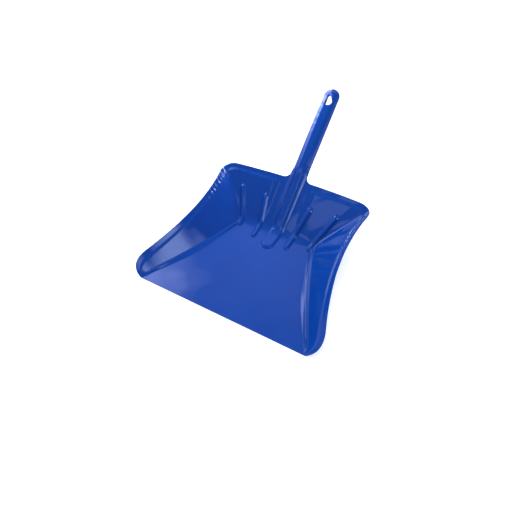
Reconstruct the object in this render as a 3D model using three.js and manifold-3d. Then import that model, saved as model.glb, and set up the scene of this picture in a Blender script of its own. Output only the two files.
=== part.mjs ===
// Pressed sheet-steel hand shovel: a drawn pan with a tongue, and a rolled handle crimped over it.
// Millimetres, +Z up. The pan opens towards -Y and the handle rises towards +Y.
import * as THREE from 'three';
import { mergeVertices } from 'three/addons/utils/BufferGeometryUtils.js';
import Module from 'manifold-3d';

const wasm = await Module();
wasm.setup();

// ---- driving dimensions -------------------------------------------------------------------
const sheet = 0.8;                // thickness of the steel
const fitGap = 0.3;               // clearance between the tongue and the handle

const frontHalfWidth = 100.9;     // straight part of the front edge
const lipDepth = 3.2;             // bevelled strip behind the front edge
const lipDrop = 0.6;              // how far the bevel falls
const cornerDepth = 24;           // front corners reach this far back
const panDepth = 187.5;           // back rim at its outer ends
const backBow = 6.8;              // how much further back the rim stands at the middle
const backBowHalf = 96.4;         // half-width over which the back rim bows
const backHeight = 46.5;          // rim height at the back
const backDip = 0.9;              // how much lower the back rim is at the middle
const rimCornerSetback = 21;      // the rim turns the back corner within this distance
const floorDepth = 139.3;         // back fold of the flat floor
const foldCornerSetback = 9;
const valleyRound = 0.13;         // share of the rim's corner that rounds the valley between two walls
const sideFoldSetback = 3.5;      // the side folds are tight
const backFoldSetback = 10;       // the back fold is wide
const stepPlace = 8;              // pressed step in the walls, this far in from the rim
const stepHalf = 2.2;
const stepHeight = 1.4;
const ledgeHeight = 2;            // raised ledge along the side folds
const ledgeWall = 2.8;            // half-width of the ledge on the wall
const ledgeNarrow = 3.2;          // on the floor, at the ends of the fold
const ledgeWide = 9;              // on the floor, halfway along the fold

const handleAngle = THREE.MathUtils.degToRad(38.1);
const handleLength = 125;         // from the rim to the tip
const handleMouth = 20;           // the handle starts this far past the rim
const handleHalf = 10.4;          // half of the width over all
const handleTop = 4.6;            // above the plane of the back wall
const handleFlat = 3.4;           // half of the flat along the top
const handleBend = 2.4;           // radius between the flat and the sloping flank
const handleSlope = THREE.MathUtils.degToRad(30);
const handleFlank = 4.4;          // width of the sloping flank
const handleSide = 4;             // radius of the side
const handleRoll = 2.8;           // radius that turns the edges under
const handleSlot = 4.5;           // half of the slot between the rolled edges
const eyeRadius = 4.6;            // teardrop hole that it hangs by
const eyeCentre = 105.5;
const eyeApex = 113.5;

const neckHalf = 11;              // half-width of the sheet that runs on into the tongue
const neckFillet = 8;             // fillet between the back rim and the neck
const neckFormed = 16;            // here the neck has the handle's section
const joggleStart = 19.2;         // here the tongue steps down, to slide inside the handle
const joggleEnd = 19.7;
const tongueLength = 46;          // from the back rim into the handle

const beadHeight = 2.6;
const beadHalfWidth = 4.2;
const beads = [                   // plan positions of the right-hand beads: top, fold and foot
  [[64, 168.5], [50.5, 141.5], [48, 131]],
  [[30.2, 168.6], [23.6, 141], [22.6, 120.5]],
];
const spine = { height: 2.8, halfAtRim: 11.4, halfAtFoot: 9.2, footY: 106.5, edge: 4.8 };
const grooves = { offset: 5.2, halfWidth: 2.4, depth: 1.9, startY: 136, fade: 5, end: 18 };

const bluePaint = { color: 0x1b46a8, roughness: 0.25, metalness: 0.1 };

// ---- rim and fold lines of the right half -------------------------------------------------
const point = (x, y, z = 0) => new THREE.Vector3(x, y, z);

function sideRim(y) {
  const t = y / 192.8;
  return point(
    119.15 - 74.9 * t + 44.5 * t ** 2 + 16.3 * t ** 3,
    y,
    12.9 + 42.2 * t - 16.2 * t ** 2 + 8.1 * t ** 3,
  );
}

function sideRimDirection(y) {
  return sideRim(y + 0.5).sub(sideRim(y - 0.5));
}

function backRim(x) {
  const bow = 1 - (x / backBowHalf) ** 2;
  return point(x, panDepth + backBow * bow, backHeight - backDip * bow);
}

function sideFold(y) {
  const t = y / 125.3;
  return point(103.1 - 59.3 * t + 10.5 * t ** 2, y);
}

const handleAxis = point(0, Math.cos(handleAngle), Math.sin(handleAngle));
const handleUp = point(0, -Math.sin(handleAngle), Math.cos(handleAngle));
const handleRoot = backRim(0);

// The front corner of the rim climbs from the front edge to the side.
const cornerStart = point(frontHalfWidth, 0, 0);
const cornerEnd = sideRim(cornerDepth);
const cornerCurve = new THREE.CubicBezierCurve3(
  cornerStart,
  cornerStart.clone().add(point(11.3, 0, 10.2)),
  cornerEnd.clone().addScaledVector(sideRimDirection(cornerDepth), -0.55 * cornerDepth),
  cornerEnd,
);
const foldStart = point(frontHalfWidth - lipDepth, lipDepth);
const foldCornerEnd = sideFold(cornerDepth * 0.7);
const foldFrontCorner = new THREE.QuadraticBezierCurve3(foldStart, sideFold(lipDepth), foldCornerEnd);

// At the back corner two flat walls meet in a tight valley, which runs from the fold to the rim.
const valleyFoot = sideFold(floorDepth);
const valleyTop = sideRim(panDepth);
const valleyAxis = valleyTop.clone().sub(valleyFoot).normalize();
const rimTurnStart = sideRim(panDepth - rimCornerSetback);
const rimTurnEnd = backRim(valleyTop.x - rimCornerSetback);
const foldTurnStart = sideFold(floorDepth - foldCornerSetback);
const foldTurnEnd = valleyFoot.clone().add(point(-foldCornerSetback, 0));
const foldTurn = new THREE.QuadraticBezierCurve3(foldTurnStart, valleyFoot, foldTurnEnd);

function fromValley(p) {
  const arm = p.clone().sub(valleyTop);
  return arm.addScaledVector(valleyAxis, -arm.dot(valleyAxis));
}

// Where a point of one wall would lie if that wall were turned flat with its neighbour's wall.
function acrossValley(p, neighbour) {
  const reach = fromValley(p);
  const side = fromValley(neighbour).normalize();
  return p.clone().sub(reach).addScaledVector(side, -reach.length());
}

const turnOnSide = new THREE.QuadraticBezierCurve3(
  rimTurnStart,
  valleyTop,
  acrossValley(rimTurnEnd, rimTurnStart),
);
const turnOnBack = new THREE.QuadraticBezierCurve3(
  acrossValley(rimTurnStart, rimTurnEnd),
  valleyTop,
  rimTurnEnd,
);
const reachRatio = fromValley(rimTurnEnd).length() / fromValley(rimTurnStart).length();
const turnMiddle = 1 / (1 + Math.sqrt(reachRatio));
const turnValley = new THREE.QuadraticBezierCurve3(
  turnOnSide.getPoint(turnMiddle - valleyRound),
  turnOnSide.getPoint(turnMiddle),
  turnOnBack.getPoint(turnMiddle + valleyRound),
);

function turnRim(t) {
  const u = (t - turnMiddle + valleyRound) / (2 * valleyRound);
  if (u > 0 && u < 1) {
    return turnValley.getPoint(u);
  }
  return u <= 0 ? turnOnSide.getPoint(t) : turnOnBack.getPoint(t);
}

// Columns run from the middle of the floor, over the fold, to the rim.
function neckReach(x) {
  const d = Math.max(0, neckHalf + neckFillet - x) / neckFillet;
  return d >= 1 ? neckFillet : neckFillet * (1 - Math.sqrt(1 - d * d));
}

function backColumn(x) {
  const straight = neckHalf + neckFillet;
  const spread = (foldTurnEnd.x - straight) / (rimTurnEnd.x - straight);
  const foldX = x <= straight ? x : straight + (x - straight) * spread;
  return {
    fold: point(foldX, floorDepth),
    rim: backRim(x).addScaledVector(handleAxis, neckReach(x)),
    setback: backFoldSetback,
    step: stepHeight * THREE.MathUtils.smoothstep(x, straight, straight + 12),
    ledge: 0,
    ledgeWidth: ledgeNarrow,
  };
}

// From the middle of the front edge round to the neck.
function rightColumns() {
  const columns = [];
  const frontSteps = 8;
  for (let i = 0; i < frontSteps; i += 1) {
    const t = i / frontSteps;
    columns.push({
      fold: point(foldStart.x * t, lipDepth),
      rim: point(frontHalfWidth * t, 0),
      setback: 0.5,
      step: 0,
      ledge: 0,
      ledgeWidth: ledgeNarrow,
    });
  }
  const cornerSteps = 7;
  for (let i = 0; i < cornerSteps; i += 1) {
    const t = i / cornerSteps;
    columns.push({
      fold: foldFrontCorner.getPoint(t),
      rim: cornerCurve.getPoint(t),
      setback: THREE.MathUtils.lerp(0.5, sideFoldSetback, t),
      step: stepHeight * 0.5 * t,
      ledge: ledgeHeight * t ** 2,
      ledgeWidth: ledgeNarrow,
    });
  }
  const sideSteps = 14;
  for (let i = 0; i < sideSteps; i += 1) {
    const t = i / sideSteps;
    columns.push({
      fold: sideFold(THREE.MathUtils.lerp(foldCornerEnd.y, foldTurnStart.y, t)),
      rim: sideRim(THREE.MathUtils.lerp(cornerEnd.y, rimTurnStart.y, t)),
      setback: sideFoldSetback,
      step: stepHeight * (0.5 + 0.5 * t),
      ledge: ledgeHeight,
      ledgeWidth: THREE.MathUtils.lerp(ledgeNarrow, ledgeWide, Math.sin(Math.PI * t)),
    });
  }
  const turnSteps = 10;
  for (let i = 0; i < turnSteps; i += 1) {
    const t = i / turnSteps;
    columns.push({
      fold: foldTurn.getPoint(t),
      rim: turnRim(t),
      setback: THREE.MathUtils.lerp(sideFoldSetback, backFoldSetback, t),
      step: stepHeight,
      ledge: ledgeHeight * (1 - THREE.MathUtils.smoothstep(t, 0, 0.6)),
      ledgeWidth: ledgeNarrow,
    });
  }
  const wallSteps = 15;
  for (let i = 0; i < wallSteps; i += 1) {
    const x = THREE.MathUtils.lerp(rimTurnEnd.x, neckHalf + neckFillet, i / wallSteps);
    columns.push(backColumn(x));
  }
  const filletSteps = 5;
  for (let i = 0; i < filletSteps; i += 1) {
    const angle = (Math.PI / 2) * (1 - i / filletSteps);
    columns.push(backColumn(neckHalf + neckFillet * (1 - Math.cos(angle))));
  }
  return columns;
}

// Half of the handle's arch as (across, up): a flat, a small bend, a sloping flank and a round side.
// share runs from 0 in the middle of the top to 1 at the side.
const bendStart = handleFlat;
const flankStart = bendStart + handleBend * handleSlope;
const sideStart = flankStart + handleFlank;
const sideEnd = sideStart + handleSide * (Math.PI / 2 - handleSlope);

function archPoint(share, offset) {
  const along = share * sideEnd;
  const first = THREE.MathUtils.clamp((along - bendStart) / handleBend, 0, handleSlope);
  const slope = THREE.MathUtils.clamp(along - flankStart, 0, handleFlank);
  const last = handleSlope + Math.max(0, along - sideStart) / handleSide;
  const angle = along <= sideStart ? first : last;
  const across = Math.min(along, bendStart)
    + handleBend * Math.sin(first)
    + slope * Math.cos(handleSlope)
    + handleSide * (Math.sin(last) - Math.sin(handleSlope));
  const drop = handleBend * (1 - Math.cos(first))
    + slope * Math.sin(handleSlope)
    + handleSide * (Math.cos(handleSlope) - Math.cos(last));
  return [across - offset * Math.sin(angle), handleTop - drop - offset * Math.cos(angle)];
}

function handlePoint(across, along, up) {
  const p = handleRoot.clone();
  p.addScaledVector(handleAxis, along);
  p.addScaledVector(handleUp, up);
  p.x += across;
  return p;
}

// How far the flat sheet has turned into the handle's arch.
function neckShare(reach) {
  return THREE.MathUtils.smoothstep(reach, neckFillet, neckFormed);
}

function reachOf(p) {
  return p.clone().sub(handleRoot).dot(handleAxis);
}

function neckPoint(x, reach) {
  const inside = THREE.MathUtils.smoothstep(reach, joggleStart, joggleEnd);
  const [across, up] = archPoint(Math.abs(x) / neckHalf, sheet + (sheet + fitGap) * inside);
  const share = neckShare(reach);
  return handlePoint(
    THREE.MathUtils.lerp(x, Math.sign(x) * across, share),
    reach,
    up * share,
  );
}

const tongueReaches = [
  9.6, 11.2, 12.8, 14.4, neckFormed, 17.4, 18.4, joggleStart, joggleEnd, 32, tongueLength,
];
const tongueSteps = 14;
function tongueOffsets() {
  const offsets = [];
  for (let i = 0; i <= tongueSteps; i += 1) {
    offsets.push(neckHalf * (1 - (2 * i) / tongueSteps));
  }
  return offsets;
}

// ---- pressed relief: four beads, and the handle's spine with its two grooves ---------------
function distanceToSegment(x, y, top, foot) {
  const dx = foot[0] - top[0];
  const dy = foot[1] - top[1];
  const along = ((x - top[0]) * dx + (y - top[1]) * dy) / (dx * dx + dy * dy);
  const t = THREE.MathUtils.clamp(along, 0, 1);
  return Math.hypot(x - top[0] - t * dx, y - top[1] - t * dy);
}

function dome(distance, halfWidth) {
  const t = Math.min(1, distance / halfWidth);
  return 0.5 + 0.5 * Math.cos(Math.PI * t);
}

function spineHeight(side, y, reach) {
  const rise = THREE.MathUtils.clamp((y - spine.footY) / (handleRoot.y - spine.footY), 0, 1);
  const half = THREE.MathUtils.lerp(spine.halfAtFoot, spine.halfAtRim, rise);
  const past = Math.max(0, spine.footY + half - y);
  const beyond = Math.max(0, Math.hypot(side, past) - (half - spine.edge));
  return spine.height * dome(beyond, spine.edge) * (1 - neckShare(reach));
}

function grooveDepth(side, y, reach) {
  const start = THREE.MathUtils.smoothstep(y, grooves.startY, grooves.startY + 12);
  const end = 1 - THREE.MathUtils.smoothstep(reach, grooves.fade, grooves.end);
  return grooves.depth * dome(Math.abs(side - grooves.offset), grooves.halfWidth) * start * end;
}

function relief(p) {
  const side = Math.abs(p.x);
  const reach = reachOf(p);
  let height = spineHeight(side, p.y, reach) - grooveDepth(side, p.y, reach);
  for (const [top, fold, foot] of beads) {
    const upper = distanceToSegment(side, p.y, top, fold);
    const lower = distanceToSegment(side, p.y, fold, foot);
    height += beadHeight * dome(Math.min(upper, lower), beadHalfWidth);
  }
  return height;
}

// ---- mesh helpers ---------------------------------------------------------------------------
class Shell {
  constructor() {
    this.points = [];
    this.faces = [];
  }

  add(p) {
    this.points.push(p);
    return this.points.length - 1;
  }

  quad(a, b, c, d) {
    this.faces.push([a, b, c], [a, c, d]);
  }

  normals() {
    const sums = this.points.map(() => point(0, 0, 0));
    const ab = new THREE.Vector3();
    const ac = new THREE.Vector3();
    for (const [a, b, c] of this.faces) {
      ab.subVectors(this.points[b], this.points[a]);
      ac.subVectors(this.points[c], this.points[a]);
      const area = ab.clone().cross(ac);
      for (const corner of [a, b, c]) {
        sums[corner].add(area);
      }
    }
    return sums.map((n) => n.normalize());
  }

  // Edges that belong to one face only, in face order.
  borders() {
    const seen = new Map();
    for (const face of this.faces) {
      for (let i = 0; i < 3; i += 1) {
        const a = face[i];
        const b = face[(i + 1) % 3];
        const twin = `${b},${a}`;
        if (seen.has(twin)) {
          seen.delete(twin);
        } else {
          seen.set(`${a},${b}`, [a, b]);
        }
      }
    }
    return [...seen.values()];
  }
}

function solidGeometry(points, faces) {
  const geometry = new THREE.BufferGeometry();
  const positions = new Float32Array(points.flatMap((p) => [p.x, p.y, p.z]));
  geometry.setAttribute('position', new THREE.BufferAttribute(positions, 3));
  geometry.setIndex(faces.flat());
  return geometry;
}

// Thickens an open surface of inner faces into a sheet; lower points are the given surface.
function thicken(shell, thickness) {
  const normals = shell.normals();
  const count = shell.points.length;
  const upper = shell.points.map((p, i) => p.clone().addScaledVector(normals[i], thickness(p)));
  const faces = shell.faces.map(([a, b, c]) => [a + count, b + count, c + count]);
  for (const [a, b, c] of shell.faces) {
    faces.push([a, c, b]);
  }
  for (const [a, b] of shell.borders()) {
    faces.push([a, b, b + count], [a, b + count, a + count]);
  }
  return solidGeometry([...shell.points, ...upper], faces);
}

// ---- pan --------------------------------------------------------------------------------------
const floorCentre = point(0, 70, 0);
const floorStops = [0.35, 0.6, 0.78, 0.87, 0.91, 0.945, 0.975, 1];
const foldSteps = 4;
const wallStops = [0.05, 0.14, 0.28, 0.42, 0.56, 0.68, 0.76, 0.82, 0.87, 0.92, 1];

// Points of one column, each with the height that the ledge along the side folds has there.
function columnPoints({ fold, rim, setback, step, ledge, ledgeWidth }) {
  const outward = point(rim.x - fold.x, rim.y - fold.y).normalize();
  const climb = rim.clone().sub(fold);
  const wallSetback = Math.min(setback, climb.length() / 2);
  climb.normalize();
  const floorEnd = fold.clone().addScaledVector(outward, -setback);
  const wallStart = fold.clone().addScaledVector(climb, wallSetback);
  const inward = climb.clone().multiplyScalar(-climb.z).add(point(0, 0, 1)).normalize();
  const list = [];
  const addPoint = (p, fromFold) => {
    const half = fromFold < 0 ? ledgeWidth : ledgeWall;
    list.push({ p, ledge: ledge * dome(Math.abs(fromFold), half) });
  };
  for (const t of floorStops) {
    const p = floorCentre.clone().lerp(floorEnd, t);
    addPoint(p, -p.distanceTo(fold));
  }
  const bend = new THREE.QuadraticBezierCurve3(floorEnd, fold, wallStart);
  for (let i = 1; i <= foldSteps; i += 1) {
    const t = i / foldSteps;
    addPoint(bend.getPoint(t), THREE.MathUtils.lerp(-setback, wallSetback, t));
  }
  const wallLength = wallStart.distanceTo(rim);
  for (const t of wallStops) {
    const edge = (1 - t) * wallLength;
    const fade = THREE.MathUtils.clamp((wallLength - edge) / Math.max(wallLength - stepPlace, 1), 0, 1);
    const rise = THREE.MathUtils.smoothstep(edge, stepPlace - stepHalf, stepPlace + stepHalf);
    const p = wallStart.clone().lerp(rim, t).addScaledVector(inward, step * fade * rise);
    addPoint(p, wallSetback + wallLength * t);
  }
  return list;
}

function mirrored(list) {
  return list.map(({ p, ledge }) => ({ p: point(-p.x, p.y, p.z), ledge }));
}

function buildPan() {
  const shell = new Shell();
  const right = rightColumns().map(columnPoints);
  const middle = tongueOffsets().map((x) => {
    const list = columnPoints(backColumn(Math.abs(x)));
    return x < 0 ? mirrored(list) : list;
  });
  const left = right.slice(1).reverse().map(mirrored);
  const columns = [...right, ...middle, ...left];
  const rows = columns[0].length;
  const lifts = [];
  const index = columns.map((list) => list.map(({ p, ledge }) => {
    lifts.push(ledge);
    return shell.add(p);
  }));
  const centre = shell.add(floorCentre.clone());
  columns.forEach((list, i) => {
    const here = index[i];
    const next = index[(i + 1) % columns.length];
    shell.faces.push([centre, here[0], next[0]]);
    for (let j = 0; j + 1 < rows; j += 1) {
      shell.quad(here[j], here[j + 1], next[j + 1], next[j]);
    }
  });

  // The neck carries the middle columns on, and becomes the tongue inside the handle.
  let row = middle.map((list, i) => index[right.length + i][rows - 1]);
  for (const reach of tongueReaches) {
    const nextRow = tongueOffsets().map((x) => shell.add(neckPoint(x, reach)));
    for (let i = 0; i + 1 < row.length; i += 1) {
      shell.quad(row[i], nextRow[i], nextRow[i + 1], row[i + 1]);
    }
    row = nextRow;
  }

  const normals = shell.normals();
  shell.points.forEach((p, i) => {
    p.addScaledVector(normals[i], relief(p) + (lifts[i] ?? 0));
  });
  return thicken(shell, (p) => (p.y <= 0.01 && p.z < 0.01 ? sheet - lipDrop : sheet));
}

// ---- handle -----------------------------------------------------------------------------------
// Half of the rolled section, from the middle of the top round to the edge of the slot.
function handleProfile(offset) {
  const sideUp = archPoint(1, 0)[1];
  const bottom = sideUp - handleRoll + offset;
  const list = [];
  const archSteps = 10;
  for (let i = 0; i <= archSteps; i += 1) {
    list.push(archPoint(i / archSteps, offset));
  }
  const rollSteps = 4;
  for (let i = 1; i <= rollSteps; i += 1) {
    const angle = (Math.PI / 2) * (i / rollSteps);
    const radius = handleRoll - offset;
    const x = handleHalf - handleRoll + radius * Math.cos(angle);
    list.push([x, bottom + radius * (1 - Math.sin(angle))]);
  }
  list.push([handleSlot, bottom]);
  return list;
}

function buildHandle() {
  const outer = handleProfile(0);
  const inner = handleProfile(sheet);
  const ring = [...outer, ...inner.reverse()];
  const turn = handleLength - handleHalf;
  const stations = [];
  const straightSteps = 6;
  for (let i = 0; i < straightSteps; i += 1) {
    stations.push({ along: THREE.MathUtils.lerp(handleMouth, turn, i / straightSteps), angle: 0 });
  }
  const turnSteps = 16;
  for (let i = 0; i <= turnSteps; i += 1) {
    stations.push({ along: turn, angle: (Math.PI * i) / turnSteps });
  }
  for (let i = straightSteps - 1; i >= 0; i -= 1) {
    stations.push({ along: THREE.MathUtils.lerp(handleMouth, turn, i / straightSteps), angle: Math.PI });
  }
  const points = [];
  const faces = [];
  for (const { along, angle } of stations) {
    for (const [x, n] of ring) {
      points.push(handlePoint(x * Math.cos(angle), along + x * Math.sin(angle), n));
    }
  }
  const size = ring.length;
  for (let k = 0; k + 1 < stations.length; k += 1) {
    for (let j = 0; j + 1 < size; j += 1) {
      const a = k * size + j;
      const b = a + size;
      faces.push([a, a + 1, b + 1], [a, b + 1, b]);
    }
  }
  const half = outer.length;
  for (const [start, flip] of [[0, false], [(stations.length - 1) * size, true]]) {
    for (let j = 0; j + 1 < half; j += 1) {
      const quad = [start + j, start + size - 1 - j, start + size - 2 - j, start + j + 1];
      const [a, b, c, d] = flip ? quad.reverse() : quad;
      faces.push([a, b, c], [a, c, d]);
    }
  }
  return subtract(toManifold(solidGeometry(points, faces)), toManifold(eyeCutter()));
}

// Teardrop prism through the top of the handle, its point towards the tip.
function eyeCutter() {
  const shape = new THREE.Shape();
  const reach = eyeApex - eyeCentre;
  const tangent = Math.acos(eyeRadius / (reach + 1));
  const pointHalf = 1;
  shape.moveTo(pointHalf, reach);
  shape.absarc(0, 0, eyeRadius, Math.PI / 2 - tangent, Math.PI / 2 + tangent, true);
  shape.lineTo(-pointHalf, reach);
  const prism = new THREE.ExtrudeGeometry(shape, { depth: 12, bevelEnabled: false, curveSegments: 20 });
  prism.translate(0, eyeCentre, -1);
  prism.rotateX(handleAngle);
  prism.translate(handleRoot.x, handleRoot.y, handleRoot.z);
  return prism;
}

function toManifold(geometry) {
  const plain = geometry.clone();
  plain.deleteAttribute('normal');
  plain.deleteAttribute('uv');
  const merged = mergeVertices(plain, 1e-4);
  const faces = [];
  const source = merged.index.array;
  for (let i = 0; i < source.length; i += 3) {
    const [a, b, c] = source.slice(i, i + 3);
    if (a !== b && b !== c && c !== a) {
      faces.push(a, b, c);
    }
  }
  return new wasm.Manifold(new wasm.Mesh({
    numProp: 3,
    vertProperties: new Float32Array(merged.attributes.position.array),
    triVerts: new Uint32Array(faces),
  }));
}

function subtract(solid, cutter) {
  const mesh = solid.subtract(cutter).getMesh();
  const geometry = new THREE.BufferGeometry();
  geometry.setAttribute('position', new THREE.BufferAttribute(mesh.vertProperties, 3));
  geometry.setIndex(new THREE.BufferAttribute(mesh.triVerts, 1));
  return geometry;
}

// ---- assembly ---------------------------------------------------------------------------------
function named(name, geometry) {
  const mesh = new THREE.Mesh(geometry, new THREE.MeshStandardMaterial(bluePaint));
  mesh.name = name;
  return mesh;
}

const shovel = new THREE.Group();
shovel.add(named('pan', buildPan()));
shovel.add(named('handle', buildHandle()));
const extent = new THREE.Box3().setFromObject(shovel);
shovel.position.y = -(extent.min.y + extent.max.y) / 2;

export default shovel;
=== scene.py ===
import math

import bmesh
import bpy
import numpy as np
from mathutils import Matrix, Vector


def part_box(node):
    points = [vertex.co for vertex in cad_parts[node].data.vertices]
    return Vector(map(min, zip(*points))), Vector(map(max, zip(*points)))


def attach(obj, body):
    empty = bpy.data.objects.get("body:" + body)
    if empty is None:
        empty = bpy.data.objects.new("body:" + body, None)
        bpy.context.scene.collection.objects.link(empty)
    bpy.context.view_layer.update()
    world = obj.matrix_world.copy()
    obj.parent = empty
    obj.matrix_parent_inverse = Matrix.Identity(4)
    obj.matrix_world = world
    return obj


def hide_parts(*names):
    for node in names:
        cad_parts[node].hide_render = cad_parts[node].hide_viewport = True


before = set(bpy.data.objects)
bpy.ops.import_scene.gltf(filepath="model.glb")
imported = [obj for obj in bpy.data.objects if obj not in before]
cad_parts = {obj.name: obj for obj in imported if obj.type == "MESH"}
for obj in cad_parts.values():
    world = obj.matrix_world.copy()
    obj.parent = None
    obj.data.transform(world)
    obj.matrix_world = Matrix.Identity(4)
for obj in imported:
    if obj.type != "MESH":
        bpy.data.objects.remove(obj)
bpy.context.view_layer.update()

# Glossy blue steel dustpan. The shapes below are worked out in millimetres, in the pan's own frame
# (front edge at y = 0), and are moved into the row frame, in metres, when a mesh is made.
MM = 0.001
FRONT_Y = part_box("pan")[0].y

# ---- driving dimensions ------------------------------------------------------------------------
SHEET = 0.8
FRONT_HALF = 100.9
LIP_DEPTH = 3.2
LIP_DROP = 0.6
CORNER_DEPTH = 24.0
CORNER_PULL = (11.3, 0.0, 10.2)   # how far the front corner bulges out and up before it turns back
SIDE_RIM_RUN = 192.8
PAN_DEPTH = 187.5
BACK_BOW = 6.8
BACK_BOW_HALF = 96.4
BACK_HEIGHT = 46.5
BACK_DIP = 0.9
RIM_CORNER = 21.0
FLOOR_DEPTH = 139.3
SIDE_FOLD_RUN = 125.3
FOLD_CORNER = 9.0
VALLEY_ROUND = 0.13
FRONT_SETBACK = 0.5               # from a fold's sharp line to where its round bend starts
SIDE_SETBACK = 3.5
BACK_SETBACK = 10.0
STEP_PLACE = 8.0
STEP_HALF = 2.2
STEP_HEIGHT = 1.4
STEP_FADE = 12.0
LEDGE_HEIGHT = 2.0
LEDGE_WALL = 2.8
LEDGE_NARROW = 3.2
LEDGE_WIDE = 9.0
FLOOR_CENTRE = np.array([0.0, 70.0, 0.0])

HANDLE_ANGLE = math.radians(38.1)
HANDLE_LENGTH = 125.0
HANDLE_MOUTH = 20.0
HANDLE_HALF = 10.4
HANDLE_TOP = 4.6
HANDLE_FLAT = 3.4
HANDLE_BEND = 2.4
HANDLE_SLOPE = math.radians(30)
HANDLE_FLANK = 4.4
HANDLE_SIDE = 4.0
HANDLE_ROLL = 2.8
HANDLE_SLOT = 4.5
EYE_RADIUS = 4.6
EYE_CENTRE = 105.5
EYE_APEX = 113.5
EYE_TIP_RADIUS = 1.2
EYE_CUT_HEIGHT = 12.0

NECK_HALF = 11.0
NECK_FILLET = 8.0
NECK_FORMED = 16.0
JOGGLE = (19.2, 19.7)
TONGUE_LENGTH = 46.0
FIT_GAP = 0.3

BEAD_HEIGHT = 2.6
BEAD_HALF = 4.2
BEADS = [
    ((64.0, 168.5), (50.5, 141.5), (48.0, 131.0)),
    ((30.2, 168.6), (23.6, 141.0), (22.6, 120.5)),
]
SPINE_HEIGHT = 2.8
SPINE_HALF_RIM = 11.4
SPINE_HALF_FOOT = 9.2
SPINE_FOOT_Y = 106.5
SPINE_EDGE = 4.8
GROOVE_RISE = 12.0
GROOVE_OFFSET = 5.2
GROOVE_HALF = 2.4
GROOVE_DEPTH = 1.9
GROOVE_START_Y = 136.0
GROOVE_FADE = (5.0, 18.0)         # reach over which the grooves run out
WRINKLE_START = (112, 132)        # y over which the wrinkles rise, and over which they fade
WRINKLE_END = (172, 183)
WRINKLE_SIDE = 70                 # how far out the wrinkled walls start
WRINKLE_HEIGHTS = (0.5, 0.16)     # on the left side and on the right side
UNDULATION = 0.1
EDGE_BULGE = 0.2                  # of the sheet's thickness, so that its cut edge is round


# ---- rim and fold lines of the right half ------------------------------------------------------
def side_rim(y):
    t = np.asarray(y, float) / SIDE_RIM_RUN
    x = 119.15 - 74.9 * t + 44.5 * t**2 + 16.3 * t**3
    z = 12.9 + 42.2 * t - 16.2 * t**2 + 8.1 * t**3
    return np.stack([x, t * SIDE_RIM_RUN, z], -1)


def back_rim(x):
    x = np.asarray(x, float)
    bow = 1 - (x / BACK_BOW_HALF) ** 2
    return np.stack([x, PAN_DEPTH + BACK_BOW * bow, BACK_HEIGHT - BACK_DIP * bow], -1)


def side_fold(y):
    t = np.asarray(y, float) / SIDE_FOLD_RUN
    x = 103.1 - 59.3 * t + 10.5 * t**2
    return np.stack([x, t * SIDE_FOLD_RUN, 0 * t], -1)


def bezier(t, *controls):
    """A Bezier curve of any order, for an array of t."""
    t = np.asarray(t, float)[:, None]
    n = len(controls) - 1
    return sum(
        math.comb(n, i) * (1 - t) ** (n - i) * t**i * np.asarray(c, float)
        for i, c in enumerate(controls)
    )


def smoothstep(x, low, high):
    t = np.clip((np.asarray(x, float) - low) / (high - low), 0, 1)
    return t * t * (3 - 2 * t)


HANDLE_AXIS = np.array([0.0, math.cos(HANDLE_ANGLE), math.sin(HANDLE_ANGLE)])
HANDLE_UP = np.array([0.0, -math.sin(HANDLE_ANGLE), math.cos(HANDLE_ANGLE)])
HANDLE_ROOT = back_rim(0.0)
NECK_WIDE = NECK_HALF + NECK_FILLET
FOLD_START = np.array([FRONT_HALF - LIP_DEPTH, LIP_DEPTH, 0.0])
FOLD_CORNER_END = side_fold(0.7 * CORNER_DEPTH)
FOLD_TURN_START = side_fold(FLOOR_DEPTH - FOLD_CORNER)
FOLD_TURN_END = side_fold(FLOOR_DEPTH) - np.array([FOLD_CORNER, 0, 0])
VALLEY_FOOT = side_fold(FLOOR_DEPTH)
VALLEY_TOP = side_rim(PAN_DEPTH)
RIM_TURN_START = side_rim(PAN_DEPTH - RIM_CORNER)
RIM_TURN_END = back_rim(side_rim(PAN_DEPTH)[0] - RIM_CORNER)


def neck_reach(x):
    d = np.clip((NECK_WIDE - x) / NECK_FILLET, 0, 1)
    return NECK_FILLET * (1 - np.sqrt(1 - d * d))


def steps(count):
    """count values from 0 up to, but not including, 1."""
    return np.arange(count) / count


def columns(fold, rim, setback, step, ledge, ledge_width):
    """Each column runs from the middle of the floor over its fold point to its rim point."""
    count = len(fold)
    values = [np.broadcast_to(np.asarray(v, float), count) for v in (setback, step, ledge, ledge_width)]
    return [fold, rim, *values]


def front_columns(count):
    t = steps(count)
    fold = np.stack([FOLD_START[0] * t, 0 * t + LIP_DEPTH, 0 * t], -1)
    rim = np.stack([FRONT_HALF * t, 0 * t, 0 * t], -1)
    return columns(fold, rim, FRONT_SETBACK, 0, 0, LEDGE_NARROW)


def corner_columns(count):
    t = steps(count)
    end = side_rim(CORNER_DEPTH)
    direction = side_rim(CORNER_DEPTH + 0.5) - side_rim(CORNER_DEPTH - 0.5)
    start = np.array([FRONT_HALF, 0, 0])
    rim = bezier(t, start, start + CORNER_PULL, end - 0.55 * CORNER_DEPTH * direction, end)
    fold = bezier(t, FOLD_START, side_fold(LIP_DEPTH), FOLD_CORNER_END)
    setback = FRONT_SETBACK + (SIDE_SETBACK - FRONT_SETBACK) * t
    return columns(fold, rim, setback, 0.5 * STEP_HEIGHT * t, LEDGE_HEIGHT * t**2, LEDGE_NARROW)


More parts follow.
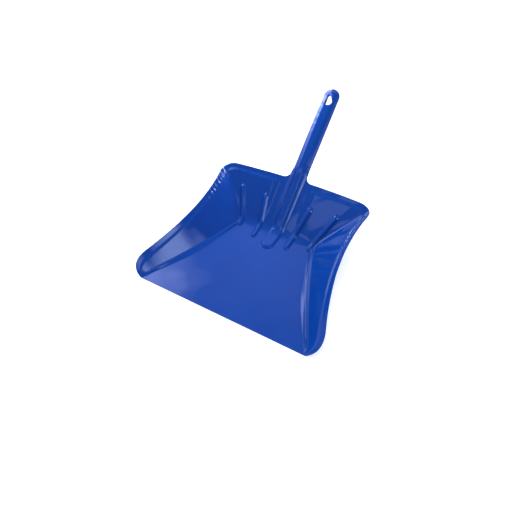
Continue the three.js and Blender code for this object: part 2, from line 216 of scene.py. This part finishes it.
def side_columns(count):
    t = steps(count)
    fold = side_fold(FOLD_CORNER_END[1] + (FOLD_TURN_START[1] - FOLD_CORNER_END[1]) * t)
    rim = side_rim(CORNER_DEPTH + (RIM_TURN_START[1] - CORNER_DEPTH) * t)
    step = STEP_HEIGHT * (0.5 + 0.5 * t)
    width = LEDGE_NARROW + (LEDGE_WIDE - LEDGE_NARROW) * np.sin(math.pi * t)
    return columns(fold, rim, SIDE_SETBACK, step, LEDGE_HEIGHT, width)


def across_valley(point, neighbour):
    """Where a point of one wall would lie if that wall were turned flat with its neighbour's wall."""
    axis = (VALLEY_TOP - VALLEY_FOOT) / np.linalg.norm(VALLEY_TOP - VALLEY_FOOT)
    arm = point - VALLEY_TOP
    along = arm @ axis
    side = neighbour - VALLEY_TOP
    side = side - (side @ axis) * axis
    reach = math.sqrt(arm @ arm - along * along)
    return VALLEY_TOP + along * axis - reach * side / np.linalg.norm(side)


def turn_rim(t):
    """The rounded corner of the rim, cut from two flat walls that meet in a tight valley."""
    side_flat = across_valley(RIM_TURN_START, RIM_TURN_END)
    back_flat = across_valley(RIM_TURN_END, RIM_TURN_START)
    on_side = [RIM_TURN_START, VALLEY_TOP, back_flat]
    on_back = [side_flat, VALLEY_TOP, RIM_TURN_END]
    axis = VALLEY_TOP - VALLEY_FOOT
    side_reach = np.linalg.norm(np.cross(RIM_TURN_START - VALLEY_TOP, axis))
    back_reach = np.linalg.norm(np.cross(RIM_TURN_END - VALLEY_TOP, axis))
    middle = 1 / (1 + math.sqrt(back_reach / side_reach))
    low, high = middle - VALLEY_ROUND, middle + VALLEY_ROUND
    ends = bezier([low], *on_side)[0], bezier([middle], *on_side)[0], bezier([high], *on_back)[0]
    arc = bezier((t - low) / (high - low), *ends)
    walls = np.where((t < low)[:, None], bezier(t, *on_side), bezier(t, *on_back))
    return np.where(((t > low) & (t < high))[:, None], arc, walls)


def turn_columns(count):
    t = steps(count)
    fold = bezier(t, FOLD_TURN_START, VALLEY_FOOT, FOLD_TURN_END)
    setback = SIDE_SETBACK + (BACK_SETBACK - SIDE_SETBACK) * t
    ledge = LEDGE_HEIGHT * (1 - smoothstep(t, 0, 0.6))
    return columns(fold, turn_rim(t), setback, STEP_HEIGHT, ledge, LEDGE_NARROW)


def back_columns(x):
    spread = (FOLD_TURN_END[0] - NECK_WIDE) / (RIM_TURN_END[0] - NECK_WIDE)
    fold_x = np.where(x <= NECK_WIDE, x, NECK_WIDE + (x - NECK_WIDE) * spread)
    fold = np.stack([fold_x, 0 * x + FLOOR_DEPTH, 0 * x], -1)
    rim = back_rim(x) + neck_reach(x)[:, None] * HANDLE_AXIS
    step = STEP_HEIGHT * smoothstep(x, NECK_WIDE, NECK_WIDE + STEP_FADE)
    return columns(fold, rim, BACK_SETBACK, step, 0, LEDGE_NARROW)


def right_columns():
    """From the middle of the front edge round to where the tongue starts."""
    wall_x = RIM_TURN_END[0] + (NECK_WIDE - RIM_TURN_END[0]) * steps(80)
    fillet_angle = math.pi / 2 * (1 - steps(20))
    fillet_x = NECK_HALF + NECK_FILLET * (1 - np.cos(fillet_angle))
    # The counts set how fine the mesh is.
    parts = [
        front_columns(50),
        corner_columns(36),
        side_columns(150),
        turn_columns(90),
        back_columns(wall_x),
        back_columns(fillet_x),
    ]
    return [np.concatenate(group) for group in zip(*parts)]


# ---- handle section ----------------------------------------------------------------------------
ARCH_ENDS = np.cumsum([
    HANDLE_FLAT,
    HANDLE_BEND * HANDLE_SLOPE,
    HANDLE_FLANK,
    HANDLE_SIDE * (math.pi / 2 - HANDLE_SLOPE),
])
HANDLE_SHOULDER = (
    HANDLE_BEND * (1 - math.cos(HANDLE_SLOPE))
    + HANDLE_FLANK * math.sin(HANDLE_SLOPE)
    + HANDLE_SIDE * math.cos(HANDLE_SLOPE)
)


def arch_points(share, offset):
    """Half of the handle's arch: a flat, a small bend, a sloping flank and a round side.

    share runs from 0 in the middle of the top to 1 at the side."""
    flat, bend, flank, side = ARCH_ENDS
    along = share * side
    first = np.clip((along - flat) / HANDLE_BEND, 0, HANDLE_SLOPE)
    slope = np.clip(along - bend, 0, HANDLE_FLANK)
    last = HANDLE_SLOPE + np.clip((along - flank) / HANDLE_SIDE, 0, math.pi / 2 - HANDLE_SLOPE)
    angle = np.where(along <= flank, first, last)
    across = np.minimum(along, flat) + HANDLE_BEND * np.sin(first) + slope * math.cos(HANDLE_SLOPE)
    across = across + HANDLE_SIDE * (np.sin(last) - math.sin(HANDLE_SLOPE)) - offset * np.sin(angle)
    drop = HANDLE_BEND * (1 - np.cos(first)) + slope * math.sin(HANDLE_SLOPE)
    drop = drop + HANDLE_SIDE * (math.cos(HANDLE_SLOPE) - np.cos(last))
    return across, HANDLE_TOP - drop - offset * np.cos(angle)


def handle_points(across, along, up):
    across, along, up = np.broadcast_arrays(across, along, up)
    spread = np.stack([across, 0 * across, 0 * across], -1)
    return HANDLE_ROOT + spread + along[..., None] * HANDLE_AXIS + up[..., None] * HANDLE_UP


def neck_points(x, reach):
    inside = smoothstep(reach, *JOGGLE)
    across, up = arch_points(np.abs(x) / NECK_HALF, SHEET + (SHEET + FIT_GAP) * inside)
    share = neck_share(reach)
    return handle_points(x + (np.sign(x) * across - x) * share, reach, up * share)


NECK_REACHES = np.concatenate([
    np.linspace(NECK_FILLET, JOGGLE[0], 30)[1:],
    np.linspace(*JOGGLE, 5)[1:],
    np.linspace(JOGGLE[1], TONGUE_LENGTH, 12)[1:],
])


# ---- pressed relief ----------------------------------------------------------------------------
def distance_to_segment(x, y, top, foot):
    dx, dy = foot[0] - top[0], foot[1] - top[1]
    t = np.clip(((x - top[0]) * dx + (y - top[1]) * dy) / (dx * dx + dy * dy), 0, 1)
    return np.hypot(x - top[0] - t * dx, y - top[1] - t * dy)


def dome(distance, half):
    return 0.5 + 0.5 * np.cos(np.pi * np.clip(distance / half, 0, 1))


def reach_of(points):
    """How far points lie past the back rim, along the handle."""
    return (points - HANDLE_ROOT) @ HANDLE_AXIS


def neck_share(reach):
    """How far the flat sheet has turned into the handle's arch."""
    return smoothstep(reach, NECK_FILLET, NECK_FORMED)


def relief(points):
    """Height of the beads and of the grooved spine above the sheet."""
    side, y, reach = np.abs(points[:, 0]), points[:, 1], reach_of(points)
    rise = np.clip((y - SPINE_FOOT_Y) / (HANDLE_ROOT[1] - SPINE_FOOT_Y), 0, 1)
    half = SPINE_HALF_FOOT + (SPINE_HALF_RIM - SPINE_HALF_FOOT) * rise
    past = np.maximum(0, SPINE_FOOT_Y + half - y)
    beyond = np.maximum(0, np.hypot(side, past) - (half - SPINE_EDGE))
    height = SPINE_HEIGHT * dome(beyond, SPINE_EDGE) * (1 - neck_share(reach))
    start = smoothstep(y, GROOVE_START_Y, GROOVE_START_Y + GROOVE_RISE)
    end = 1 - smoothstep(reach, *GROOVE_FADE)
    height = height - GROOVE_DEPTH * dome(np.abs(side - GROOVE_OFFSET), GROOVE_HALF) * start * end
    for top, fold, foot in BEADS:
        upper = distance_to_segment(side, y, top, fold)
        lower = distance_to_segment(side, y, fold, foot)
        height = height + BEAD_HEIGHT * dome(np.minimum(upper, lower), BEAD_HALF)
    return height


def wrinkles(x, y, edge):
    """Short draw wrinkles that run in from the side rim, in front of the back corners."""
    along = y + 0.3 * edge
    window = smoothstep(y, *WRINKLE_START) * (1 - smoothstep(y, *WRINKLE_END))
    window = window * (np.abs(x) > WRINKLE_SIDE)
    depth = 11 + 4 * np.sin(along * 0.9) + 3 * np.sin(along * 0.37)
    window = window * smoothstep(edge, 0.5, 3) * (1 - smoothstep(edge, depth - 5, depth + 3))
    wave = np.sin(along * 0.95 + 0.9 * np.sin(along * 0.31)) + 0.4 * np.sin(along * 2.1 + 0.4 * edge)
    strength = np.where(x < 0, *WRINKLE_HEIGHTS)
    return strength * window * wave


def undulation(points):
    """Slow unevenness of the pressed sheet, which bends the reflections."""
    x, y, z = points.T
    wave = np.sin(x / 7.3 + 1.1 * np.sin(y / 11.9)) * np.sin(y / 8.1 + z / 9.7 + 0.8 * np.sin(x / 13.3))
    return UNDULATION * wave


# ---- mesh helpers ------------------------------------------------------------------------------
def vertex_normals(points, quads):
    diagonal_a = points[quads[:, 2]] - points[quads[:, 0]]
    diagonal_b = points[quads[:, 3]] - points[quads[:, 1]]
    area = np.cross(diagonal_a, diagonal_b)
    total = np.zeros_like(points)
    for k in range(4):
        np.add.at(total, quads[:, k], area)
    return total / np.maximum(np.linalg.norm(total, axis=1, keepdims=True), 1e-12)


def open_edges(quads):
    """Edges that belong to one quad only, in the quad's own direction."""
    edges = np.concatenate([quads[:, [k, (k + 1) % 4]] for k in range(4)])
    edges = edges[edges[:, 0] != edges[:, 1]]
    size = int(quads.max()) + 1
    forward = edges[:, 0] * size + edges[:, 1]
    backward = edges[:, 1] * size + edges[:, 0]
    return edges[~np.isin(forward, backward)]


def make_object(name, points, faces):
    mesh = bpy.data.meshes.new(name)
    placed = points * MM + np.array([0, FRONT_Y, 0])
    clean = [[v for k, v in enumerate(f) if v != f[k - 1]] for f in faces]
    mesh.from_pydata(placed.tolist(), [], clean)
    mesh.validate()
    obj = bpy.data.objects.new(name, mesh)
    bpy.context.scene.collection.objects.link(obj)
    mesh.shade_smooth()
    return obj


def thicken(points, quads, thickness):
    """Gives the surface its sheet thickness, with a rounded edge of three strips."""
    normals = vertex_normals(points, quads)
    count = len(points)
    upper = points + normals * thickness[:, None]
    faces = [*quads[:, ::-1].tolist(), *(quads + count).tolist()]
    edges = open_edges(quads)
    direction = points[edges[:, 1]] - points[edges[:, 0]]
    outward = np.zeros_like(points)
    side = np.cross(direction, normals[edges[:, 0]])
    for k in range(2):
        np.add.at(outward, edges[:, k], side)
    outward /= np.maximum(np.linalg.norm(outward, axis=1, keepdims=True), 1e-12)
    ring = np.unique(edges)
    slot = np.full(count, -1)
    slot[ring] = np.arange(len(ring))
    layers = [points, upper]
    rows = [np.arange(count)]
    for share in (0.25, 0.75):
        rows.append(len(np.concatenate(layers)) + slot)
        bent = points[ring] + normals[ring] * (share * thickness[ring])[:, None]
        layers.append(bent + outward[ring] * (EDGE_BULGE * thickness[ring])[:, None])
    rows.append(np.arange(count) + count)
    for low, high in zip(rows, rows[1:]):
        a, b = edges[:, 0], edges[:, 1]
        faces.extend(np.stack([low[a], low[b], high[b], high[a]], -1).tolist())
    return np.concatenate(layers), faces


# ---- pan ---------------------------------------------------------------------------------------
FLOOR_STOPS = np.concatenate([np.linspace(0.02, 0.6, 12), np.linspace(0.62, 1, 36)])
FOLD_STEPS = 14
WALL_STOPS = np.arange(1, 61) / 60
FAR = 999.0


def column_grid(fold, rim, setback, step, ledge, ledge_width):
    """Points of every column from the middle of the floor to the rim, how far each point is from
    the rim, and how high the ledge along the side folds stands there."""
    outward = (rim - fold) * [1, 1, 0]
    outward /= np.linalg.norm(outward, axis=1, keepdims=True)
    climb = rim - fold
    reach = np.linalg.norm(climb, axis=1)
    climb = climb / reach[:, None]
    wall_setback = np.minimum(setback, reach / 2)
    floor_end = fold - outward * setback[:, None]
    wall_start = fold + climb * wall_setback[:, None]
    inward = np.array([0, 0, 1]) - climb * climb[:, 2:]
    inward /= np.linalg.norm(inward, axis=1, keepdims=True)
    rows, edges, folds = [], [], []
    for t in FLOOR_STOPS:
        rows.append(FLOOR_CENTRE + (floor_end - FLOOR_CENTRE) * t)
        edges.append(np.full(len(fold), FAR))
        folds.append(-np.linalg.norm(rows[-1] - fold, axis=1))
    for t in np.arange(1, FOLD_STEPS + 1) / FOLD_STEPS:
        rows.append((1 - t) ** 2 * floor_end + 2 * t * (1 - t) * fold + t * t * wall_start)
        edges.append(np.full(len(fold), FAR))
        folds.append(-setback + (setback + wall_setback) * t)
    wall = np.linalg.norm(rim - wall_start, axis=1)
    for t in WALL_STOPS:
        edge = (1 - t) * wall
        fade = np.clip((wall - edge) / np.maximum(wall - STEP_PLACE, 1), 0, 1)
        lift = (step * fade * smoothstep(edge, STEP_PLACE - STEP_HALF, STEP_PLACE + STEP_HALF))[:, None]
        rows.append(wall_start + (rim - wall_start) * t + inward * lift)
        edges.append(edge)
        folds.append(wall_setback + wall * t)
    fold_distance = np.stack(folds, 1)
    half = np.where(fold_distance < 0, ledge_width[:, None], LEDGE_WALL)
    return np.stack(rows, 1), np.stack(edges, 1), ledge[:, None] * dome(np.abs(fold_distance), half)


def build_pan():
    right, right_edge, right_ledge = column_grid(*right_columns())
    tongue_x = NECK_HALF * (1 - 2 * np.arange(61) / 60)
    middle, middle_edge, middle_ledge = column_grid(*back_columns(np.abs(tongue_x)))
    middle[:, :, 0] *= np.where(tongue_x < 0, -1, 1)[:, None]
    left = right[:0:-1] * [-1, 1, 1]
    grid = np.concatenate([right, middle, left])
    edge = np.concatenate([right_edge, middle_edge + FAR, right_edge[:0:-1]])
    ledge = np.concatenate([right_ledge, middle_ledge, right_ledge[:0:-1]])
    column_count, row_count = grid.shape[:2]
    index = np.arange(column_count * row_count).reshape(column_count, row_count)
    following = np.roll(index, -1, axis=0)
    quads = np.stack([index[:, :-1], index[:, 1:], following[:, 1:], following[:, :-1]], -1)
    quads = quads.reshape(-1, 4)
    points = grid.reshape(-1, 3)
    edge = edge.reshape(-1)
    ledge = ledge.reshape(-1)

    # The neck carries the middle columns on, and becomes the tongue inside the handle.
    start = index[len(right) : len(right) + len(tongue_x), -1]
    base = len(points)
    neck = [neck_points(tongue_x, reach) for reach in NECK_REACHES]
    points = np.concatenate([points, *neck])
    lines = [start]
    for k in range(len(neck)):
        lines.append(base + k * len(tongue_x) + np.arange(len(tongue_x)))
    for near, far in zip(lines, lines[1:]):
        quads = np.concatenate([quads, np.stack([near[:-1], far[:-1], far[1:], near[1:]], -1)])

    # The middle of the floor is closed by a fan of thin faces round one point.
    centre = len(points)
    points = np.concatenate([points, FLOOR_CENTRE[None]])
    hub = np.full(column_count, centre)
    quads = np.concatenate([quads, np.stack([hub, hub, index[:, 0], following[:, 0]], -1)])

    beyond = len(points) - len(edge)
    edge = np.append(edge, np.full(beyond, FAR))
    ledge = np.append(ledge, np.zeros(beyond))
    x, y = points[:, 0], points[:, 1]
    height = relief(points) + ledge + wrinkles(x, y, edge) + undulation(points)
    points = points + vertex_normals(points, quads) * height[:, None]
    lip = (points[:, 1] < 0.01) & (points[:, 2] < 0.01)
    thickness = np.where(lip, SHEET - LIP_DROP, SHEET)
    return make_object("pan_sheet", *thicken(points, quads, thickness))


# ---- handle ------------------------------------------------------------------------------------
def handle_profile(offset):
    """Half of the rolled section, from the middle of the top to the edge of the slot."""
    bottom = HANDLE_TOP - HANDLE_SHOULDER - HANDLE_ROLL + offset
    across, up = arch_points(np.linspace(0, 1, 33), offset)
    section = list(zip(across, up))
    radius = HANDLE_ROLL - offset
    for angle in np.linspace(0, math.pi / 2, 11)[1:]:
        x = HANDLE_HALF - HANDLE_ROLL + radius * math.cos(angle)
        section.append((x, bottom + radius * (1 - math.sin(angle))))
    section.append((HANDLE_SLOT, bottom))
    return section


def build_handle():
    outer = handle_profile(0)
    ring = np.array([*outer, *handle_profile(SHEET)[::-1]])
    turn = HANDLE_LENGTH - HANDLE_HALF
    straight = np.linspace(HANDLE_MOUTH, turn, 61)[:-1]
    bend = np.linspace(0, math.pi, 65)
    along = np.concatenate([straight, np.full(len(bend), turn), straight[::-1]])
    angle = np.concatenate([0 * straight, bend, 0 * straight + math.pi])
    across = ring[None, :, 0] * np.cos(angle)[:, None]
    along = along[:, None] + ring[None, :, 0] * np.sin(angle)[:, None]
    points = handle_points(across, along, ring[None, :, 1]).reshape(-1, 3)
    size = len(ring)
    stations = len(angle)
    index = np.arange(stations * size).reshape(stations, size)
    quads = np.stack([index[:-1, :-1], index[1:, :-1], index[1:, 1:], index[:-1, 1:]], -1)
    faces = quads.reshape(-1, 4)[:, ::-1].tolist()
    half = len(outer)
    for start, flip in ((0, False), ((stations - 1) * size, True)):
        for j in range(half - 1):
            quad = [start + j, start + size - 1 - j, start + size - 2 - j, start + j + 1]
            faces.append(quad[::-1] if flip else quad)
    handle = make_object("handle_sheet", points, faces)
    weld(handle)
    cut(handle, eye_cutter())
    return handle


def weld(obj):
    bm = bmesh.new()
    bm.from_mesh(obj.data)
    bmesh.ops.remove_doubles(bm, verts=bm.verts, dist=1e-6)
    bmesh.ops.recalc_face_normals(bm, faces=bm.faces)
    bm.to_mesh(obj.data)
    bm.free()


def eye_cutter():
    """Teardrop prism through the top of the handle, its point towards the tip."""
    reach = EYE_APEX - EYE_CENTRE
    tangent = math.acos(EYE_RADIUS / (reach + 1))
    arc = np.linspace(math.pi / 2 + tangent, 2.5 * math.pi - tangent, 49)
    outline = [(EYE_RADIUS * math.cos(a), EYE_RADIUS * math.sin(a)) for a in arc]
    for a in np.linspace(math.pi / 2 - tangent, math.pi / 2 + tangent, 9):
        tip = reach - EYE_TIP_RADIUS + EYE_TIP_RADIUS * math.sin(a)
        outline.append((EYE_TIP_RADIUS * math.cos(a), tip))
    outline = np.array(outline)
    count = len(outline)
    low = handle_points(outline[:, 0], EYE_CENTRE + outline[:, 1], 0.0)
    high = handle_points(outline[:, 0], EYE_CENTRE + outline[:, 1], EYE_CUT_HEIGHT)
    faces = [list(range(count))[::-1], list(range(count, 2 * count))]
    for k in range(count):
        following = (k + 1) % count
        faces.append([k, following, following + count, k + count])
    return make_object("eye_cutter", np.concatenate([low, high]), faces)


def cut(obj, cutter):
    modifier = obj.modifiers.new("eye", "BOOLEAN")
    modifier.operation = "DIFFERENCE"
    modifier.object = cutter
    modifier.solver = "EXACT"
    bpy.context.view_layer.update()
    evaluated = obj.evaluated_get(bpy.context.evaluated_depsgraph_get())
    mesh = bpy.data.meshes.new_from_object(evaluated)
    obj.modifiers.clear()
    obj.data = mesh
    mesh.shade_smooth()
    bpy.data.objects.remove(cutter)


# ---- materials ---------------------------------------------------------------------------------
def paint(name):
    """Thick glossy enamel: faint orange peel, slow colour drift and fine handling marks."""
    material = bpy.data.materials.new(name)
    material.use_nodes = True
    nodes = material.node_tree.nodes
    links = material.node_tree.links
    shader = nodes["Principled BSDF"]
    shader.inputs["Metallic"].default_value = 0.0
    shader.inputs["IOR"].default_value = 1.5
    shader.inputs["Roughness"].default_value = 0.35
    shader.inputs["Specular IOR Level"].default_value = 0.0
    shader.inputs["Coat Weight"].default_value = 1.0

    place = nodes.new("ShaderNodeTexCoord")

    def noise(scale, detail, roughness=0.5):
        node = nodes.new("ShaderNodeTexNoise")
        node.inputs["Scale"].default_value = scale
        node.inputs["Detail"].default_value = detail
        node.inputs["Roughness"].default_value = roughness
        links.new(place.outputs["Object"], node.inputs["Vector"])
        return node

    drift = noise(14, 3)
    ramp = nodes.new("ShaderNodeValToRGB")
    ramp.color_ramp.elements[0].position = 0.3
    ramp.color_ramp.elements[0].color = (0.003, 0.06, 0.37, 1)
    ramp.color_ramp.elements[1].position = 0.72
    ramp.color_ramp.elements[1].color = (0.004, 0.068, 0.4, 1)
    links.new(drift.outputs["Fac"], ramp.inputs["Fac"])
    links.new(ramp.outputs["Color"], shader.inputs["Base Color"])

    marks = noise(90, 6, 0.65)
    spread = nodes.new("ShaderNodeMapRange")
    spread.inputs["From Min"].default_value = 0.35
    spread.inputs["From Max"].default_value = 0.75
    spread.inputs["To Min"].default_value = 0.03
    spread.inputs["To Max"].default_value = 0.08
    links.new(marks.outputs["Fac"], spread.inputs["Value"])
    links.new(spread.outputs["Result"], shader.inputs["Coat Roughness"])

    peel = noise(450, 2)
    bump = nodes.new("ShaderNodeBump")
    bump.inputs["Strength"].default_value = 0.06
    bump.inputs["Distance"].default_value = 0.0003
    links.new(peel.outputs["Fac"], bump.inputs["Height"])
    links.new(bump.outputs["Normal"], shader.inputs["Normal"])
    return material


def floor_material():
    material = bpy.data.materials.new("pale_floor")
    material.use_nodes = True
    shader = material.node_tree.nodes["Principled BSDF"]
    shader.inputs["Base Color"].default_value = (0.9, 0.9, 0.9, 1)
    shader.inputs["Roughness"].default_value = 0.6
    shader.inputs["Emission Color"].default_value = (1, 1, 1, 1)
    shader.inputs["Emission Strength"].default_value = 0.6
    return material


# ---- pieces ------------------------------------------------------------------------------------
SHARP_ANGLE = math.radians(50)
pan = build_pan()
handle = build_handle()
for piece, node, slot in ((pan, "pan", "pan_paint"), (handle, "handle", "handle_paint")):
    piece.data.set_sharp_from_angle(angle=SHARP_ANGLE)
    piece.data.materials.clear()
    piece.data.materials.append(paint(slot))
    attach(piece, "root")
    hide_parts(node)

# ---- floor, light and camera -------------------------------------------------------------------
FLOOR_GAP = 0.0002
bpy.ops.mesh.primitive_plane_add(size=6, location=(0, 0, -FLOOR_GAP))
floor = bpy.context.object
floor.name = "floor"
floor.data.materials.append(floor_material())

world = bpy.data.worlds.new("studio")
bpy.context.scene.world = world
world.use_nodes = True
world.node_tree.nodes["Background"].inputs["Color"].default_value = (1, 1, 1, 1)
world.node_tree.nodes["Background"].inputs["Strength"].default_value = 0.15
bpy.context.scene.view_settings.view_transform = "Standard"


BOX_LAYERS = 6
LAYER_GAP = 0.01


def soft_box(name, azimuth, elevation, width, height, radiance, softness=0.5, distance=4.0,
             centre=(0, 0, 0), tint=(1.0, 1.2, 2.0), mirrored=True):
    """A studio light of nested panels, so that its edges are soft in the paint's reflections.

    It faces centre, in millimetres, from distance, in metres. Angles are in degrees: azimuth 0 is +Y
    and 90 is +X. The width and height are the angles that it fills as seen from centre. Only a
    mirrored light shows in the paint's reflections."""
    turn, lift = math.radians(azimuth), math.radians(elevation)
    toward = Vector((math.sin(turn) * math.cos(lift), math.cos(turn) * math.cos(lift), math.sin(lift)))
    for layer in range(BOX_LAYERS):
        place = distance + LAYER_GAP * layer
        share = 1 + softness * (2 * layer / (BOX_LAYERS - 1) - 1)
        data = bpy.data.lights.new(name, "AREA")
        data.shape = "RECTANGLE"
        data.size = 2 * share * place * math.tan(math.radians(width / 2))
        data.size_y = 2 * share * place * math.tan(math.radians(height / 2))
        data.color = tint
        data.energy = radiance / BOX_LAYERS * math.pi * data.size * data.size_y
        light = bpy.data.objects.new(name, data)
        light.location = Vector(centre) * MM + toward * place
        light.rotation_euler = toward.to_track_quat("Z", "Y").to_euler()
        light.visible_glossy = mirrored
        light.visible_camera = False
        bpy.context.scene.collection.objects.link(light)


soft_box("overhead", -110, 75, 60, 60, 1.8, tint=(1, 1, 1), mirrored=False)
soft_box("back_card", -15, 49, 50, 24, 0.4, tint=(1, 1, 1.2))
soft_box("left_window", -70, 43, 22, 16, 2.4, softness=0.3, tint=(1, 1.1, 1.6))
soft_box("side_light", -90, 46, 16, 14, 1.5, softness=0.8, distance=0.35,
         centre=(0, 23, 10), tint=(1, 1.1, 1.5))
soft_box("left_card", -97, 20, 24, 24, 0.5)
soft_box("right_box", 95, 35, 11, 14, 3.0, softness=0.9, tint=(1, 1.2, 1.8))
soft_box("right_strip", 100, 22, 12, 20, 2.0, softness=0.5, tint=(1, 1.4, 2.4))
soft_box("rear_box", 16, 32, 18, 18, 1.4, softness=0.6)
soft_box("corner_light", 14, 33, 30, 16, 20.0, softness=0.3, distance=0.1,
         centre=(-84, 32, 45), tint=(1, 1, 1.1))
soft_box("handle_light", -80, 22, 24, 12, 2.4, distance=0.3,
         centre=(0, 80, 95), tint=(1, 1.1, 1.4))
soft_box("near_card", -147, 54, 5.5, 20, 0.8, softness=0.05, distance=0.5,
         centre=(52, 5, 22), tint=(1, 1.2, 1.8))

CAMERA_AZIMUTH = math.radians(28.81)
CAMERA_ELEVATION = math.radians(47.35)
CAMERA_DISTANCE = 417.8
CAMERA_LENS = 26.99
CAMERA_TARGET = np.array([8.24, 68.99, 29.58])
camera_data = bpy.data.cameras.new("camera")
camera_data.lens = CAMERA_LENS
camera_data.sensor_width = 36
camera = bpy.data.objects.new("camera", camera_data)
toward = np.array([
    math.sin(CAMERA_AZIMUTH) * math.cos(CAMERA_ELEVATION),
    -math.cos(CAMERA_AZIMUTH) * math.cos(CAMERA_ELEVATION),
    math.sin(CAMERA_ELEVATION),
])
camera_place = (CAMERA_TARGET + toward * CAMERA_DISTANCE) * MM + np.array([0, FRONT_Y, 0])
camera.location = camera_place.tolist()
camera.rotation_euler = Vector((-toward).tolist()).to_track_quat("-Z", "Y").to_euler()
bpy.context.scene.collection.objects.link(camera)
bpy.context.scene.camera = camera
